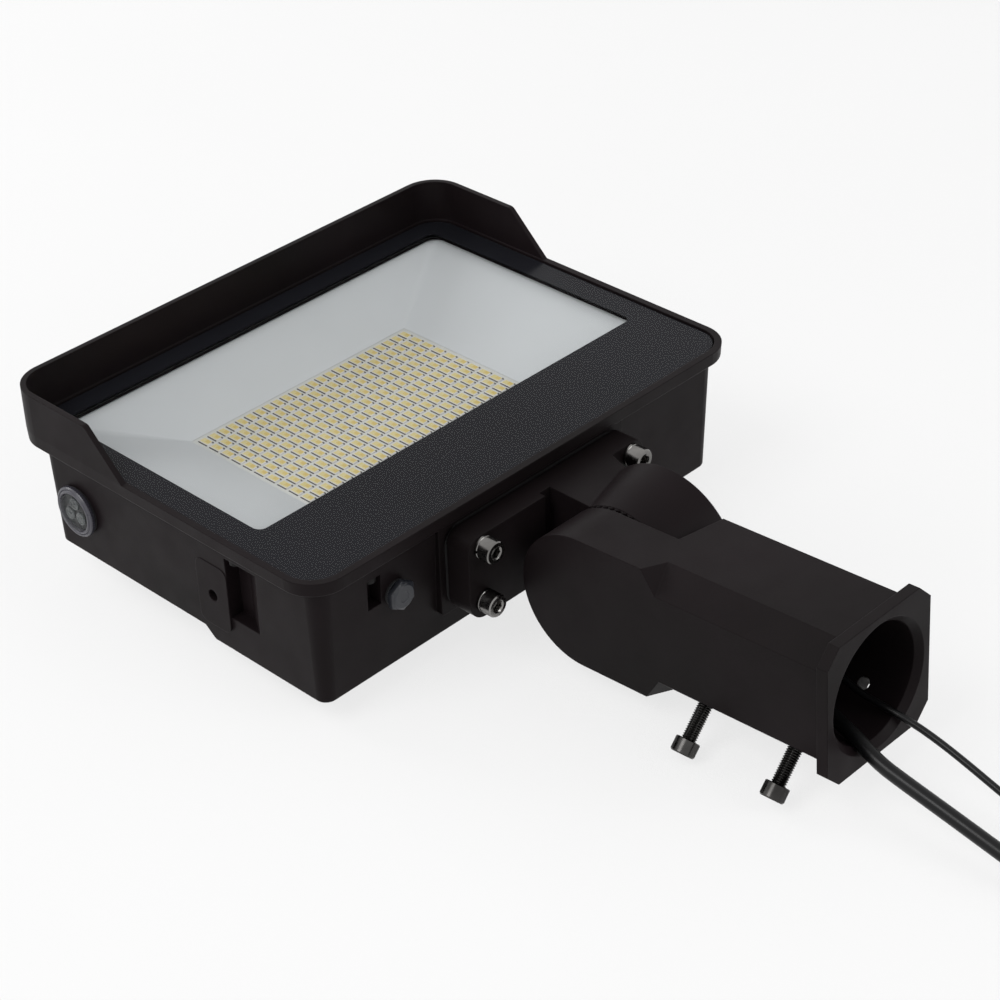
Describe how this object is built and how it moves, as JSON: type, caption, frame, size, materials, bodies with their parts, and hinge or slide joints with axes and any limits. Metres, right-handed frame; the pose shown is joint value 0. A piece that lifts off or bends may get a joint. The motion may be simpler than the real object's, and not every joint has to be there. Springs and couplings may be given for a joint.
{
  "type": "led flood light",
  "caption": "Rectangular flood light with a visor, glass-fronted chip array, tilting knuckle and a slipfitter arm with clamp screws and two loose cords",
  "frame": {"origin": "centre of the slipfitter's mouth, on the bore's axis", "axes": "+X along the long side of the head, +Y from the mouth towards the head, +Z the way the light shines; the bore's axis is tilted 3.16 degrees from Y"},
  "size_m": [0.323, 0.751, 0.1206],
  "materials": {
    "bronze_paint": "satin dark bronze powder coat",
    "glass": "clear tempered, black printed border",
    "black_rubber": "matte",
    "steel": "bright zinc",
    "dark_steel": "dark zinc",
    "grey_pad": "matte",
    "white_board": "white solder mask",
    "chip_phosphor": "yellow phosphor",
    "white_tray": "matte white",
    "driver_metal": "brushed",
    "grey_plastic": "dark grey",
    "clear_plastic": "smoked clear",
    "black_plastic": "matte",
    "cord_jacket": "satin black jacket",
    "copper": "bare copper in thin insulation"
  },
  "bodies": {
    "arm": {"slipfitter_arm": "bronze_paint", "cord_grommet": "black_rubber", "pivot_bolt": "steel", "pivot_washer": "steel", "pivot_lock_washer": "steel", "power_cord": "cord_jacket", "power_cord_coil": "cord_jacket", "power_leads": "copper", "dimming_cord": "cord_jacket", "dimming_cord_coil": "cord_jacket", "dimming_leads": "copper"},
    "head": {"front_frame": "bronze_paint", "housing": "bronze_paint", "bracket": "bronze_paint", "glass": "glass", "glass_seal": "black_rubber", "frame_gasket": "black_rubber", "frame_screws": "steel", "thermal_pad": "grey_pad", "led_board": "white_board", "led_chips": "chip_phosphor", "board_screws": "steel", "reflector": "white_tray", "driver_case": "driver_metal", "driver_screws": "steel", "sensor_seal": "black_rubber", "sensor_body": "grey_plastic", "sensor_lens": "clear_plastic", "sensor_nut": "grey_plastic", "vent_seal": "black_rubber", "vent_plug": "grey_plastic", "cable_gland": "black_plastic", "bracket_gasket": "black_rubber", "bracket_washers": "steel", "bracket_screws": "steel"},
    "clamp_inner": {"clamp_screw_inner": "dark_steel"},
    "clamp_outer": {"clamp_screw_outer": "dark_steel"}
  },
  "joints": [
    {"name": "tilt", "type": "hinge", "parent": "arm", "child": "head", "pos_m": [0, 0.16036, -0.00885], "axis": [1, 0, 0], "range_deg": [-90, 90]},
    {"name": "clamp_inner_travel", "type": "slide", "parent": "arm", "child": "clamp_inner", "axis": [0.7071, 0.039, 0.706], "range_m": [-0.008, 0.018]},
    {"name": "clamp_outer_travel", "type": "slide", "parent": "arm", "child": "clamp_outer", "axis": [0.7071, 0.039, 0.706], "range_m": [-0.008, 0.018]}
  ]
}
